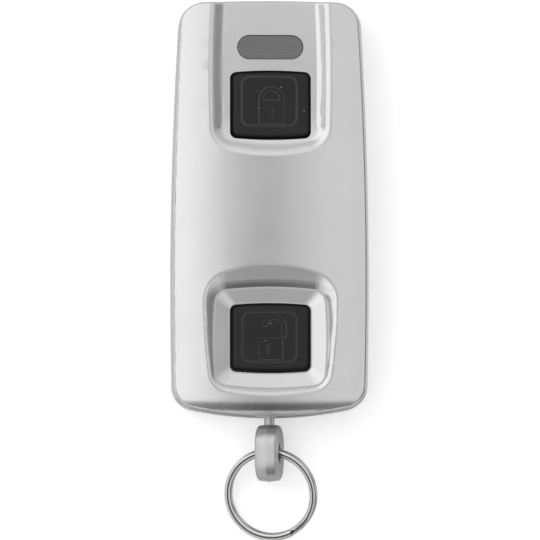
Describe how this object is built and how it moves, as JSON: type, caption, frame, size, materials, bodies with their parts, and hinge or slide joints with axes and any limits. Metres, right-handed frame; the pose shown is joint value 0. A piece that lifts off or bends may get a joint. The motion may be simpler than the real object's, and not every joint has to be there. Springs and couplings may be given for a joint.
{
  "type": "alarm key fob",
  "caption": "Handheld alarm remote with two pressing buttons, an indicator window, a coin-cell bay in the back and a swivelling key ring.",
  "frame": {"origin": "middle of the 80 by 38 mm case, on the plane of its back face", "axes": "+Z out through the buttons, +Y towards the indicator window end, -Y towards the key ring"},
  "size_m": [0.038, 0.1036, 0.0145],
  "materials": {
    "silver_cover": "satin metallic lacquer",
    "grey_cover": "fine satin grain",
    "black_soft_touch": "soft touch, fine matte grain",
    "smoke_window": "translucent, frosted inside",
    "satin_zinc": "satin, tumbled",
    "chromed_steel": "polished",
    "spring_steel": "bright rolled",
    "zinc_screw": "zinc plated",
    "grey_lid": "fine satin grain",
    "black_gasket": "matte",
    "cell_steel": "nickel plated, turned",
    "green_board": "solder mask",
    "black_package": "moulded epoxy",
    "crystal_can": "plated can",
    "beige_ceramic": "fired ceramic with tinned ends",
    "copper_wire": "tinned copper",
    "switch_black": "glass filled nylon",
    "switch_steel": "tinned sheet",
    "switch_plunger": "moulded nylon",
    "white_lamp": "clear epoxy over white body"
  },
  "bodies": {
    "case": {"front_cover": "silver_cover", "rear_cover": "grey_cover", "coin_cell": "cell_steel", "cell_clip": "spring_steel", "cell_contact": "spring_steel", "circuit_board": "green_board", "controller_chip": "black_package", "radio_chip": "black_package", "crystal": "crystal_can", "antenna": "copper_wire", "chip_resistors": "black_package", "chip_capacitors": "beige_ceramic", "status_led": "white_lamp", "lock_switch_body": "switch_black", "lock_switch_cover": "switch_steel", "unlock_switch_body": "switch_black", "unlock_switch_cover": "switch_steel", "indicator_window": "smoke_window", "case_screws": "zinc_screw"},
    "lock_press": {"lock_button": "black_soft_touch", "lock_switch_plunger": "switch_plunger"},
    "unlock_press": {"unlock_button": "black_soft_touch", "unlock_switch_plunger": "switch_plunger"},
    "lid": {"battery_lid": "grey_lid", "lid_gasket": "black_gasket"},
    "swivel": {"swivel_eye": "satin_zinc", "swivel_clip": "spring_steel"},
    "ring": {"split_ring": "chromed_steel"}
  },
  "joints": [
    {"name": "lock_button_press", "type": "slide", "parent": "case", "child": "lock_press", "axis": [0, 0, -1], "range_m": [0, 0.0004], "stiffness_N_per_m": 3000, "springref_m": -0.0002},
    {"name": "unlock_button_press", "type": "slide", "parent": "case", "child": "unlock_press", "axis": [0, 0, -1], "range_m": [0, 0.0004], "stiffness_N_per_m": 3000, "springref_m": -0.0002},
    {"name": "battery_lid_turn", "type": "hinge", "parent": "case", "child": "lid", "pos_m": [0, -0.00275, 0], "axis": [0, 0, -1], "range_deg": [0, 35]},
    {"name": "eye_swivel", "type": "hinge", "parent": "case", "child": "swivel", "pos_m": [0, -0.04675, 0.00545], "axis": [0, -1, 0], "continuous": true},
    {"name": "ring_swing", "type": "hinge", "parent": "swivel", "child": "ring", "pos_m": [0, -0.04675, 0.00545], "axis": [0.9781, 0, 0.2079], "range_deg": [-117, 92]}
  ]
}
